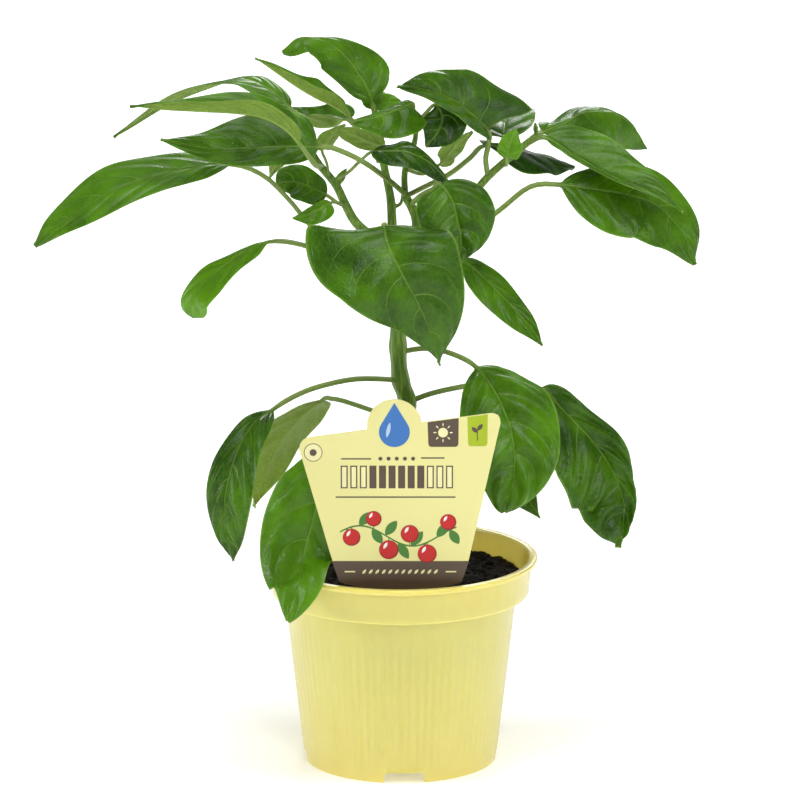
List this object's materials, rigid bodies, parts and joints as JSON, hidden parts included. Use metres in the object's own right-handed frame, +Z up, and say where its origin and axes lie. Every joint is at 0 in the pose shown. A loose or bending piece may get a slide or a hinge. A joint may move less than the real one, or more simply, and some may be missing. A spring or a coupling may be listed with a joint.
{
  "type": "potted chilli pepper plant",
  "caption": "Young chilli pepper plant with broad drooping leaves on a forked green stem, growing from dark soil in a pale yellow nursery pot with a stick-in label.",
  "frame": {"origin": "on the pot's axis, in the plane that the pot stands on, at the flat pad in the middle of its floor", "axes": "+Z up along the pot's axis, +X to the right and +Y away from the viewer, seen from the side that the label faces"},
  "size_m": [0.2856, 0.1416, 0.3195],
  "materials": {
    "pot": "pale yellow injection-moulded plastic, semi-gloss, with fine upright ribs",
    "soil": "moist dark peat, crumbly and matt",
    "label": "cream printed plastic sheet, satin",
    "stem": "ribbed green stem, satin, darker at the nodes",
    "leaf": "soft deep green blade with lighter veins, glossy above and pale matt green below"
  },
  "bodies": {
    "root": {"pot": "pot", "soil": "soil", "label": "label", "stem": "stem", "leaf_left_long": "leaf", "leaf_left_back": "leaf", "leaf_left_folded": "leaf", "leaf_left_front": "leaf", "leaf_left_hidden": "leaf", "leaf_top_narrow": "leaf", "leaf_top": "leaf", "leaf_back_left": "leaf", "leaf_small_pale": "leaf", "leaf_middle_grey": "leaf", "leaf_middle_under": "leaf", "leaf_middle_bright": "leaf", "leaf_middle_dark": "leaf", "leaf_right_broad": "leaf", "leaf_back_middle": "leaf", "leaf_middle_drooping": "leaf", "leaf_middle_pale": "leaf", "leaf_young_bright": "leaf", "leaf_right_dark": "leaf", "leaf_right_upper": "leaf", "leaf_right_middle": "leaf", "leaf_right_long": "leaf", "leaf_front_round": "leaf", "leaf_left_glossy": "leaf", "leaf_left_pale": "leaf", "leaf_left_small": "leaf", "leaf_front_big": "leaf", "leaf_right_low": "leaf", "leaf_low_left": "leaf", "leaf_low_left_back": "leaf", "leaf_low_front": "leaf", "leaf_low_right": "leaf", "leaf_low_right_back": "leaf", "leaf_low_right_hidden": "leaf"}
  },
  "joints": []
}
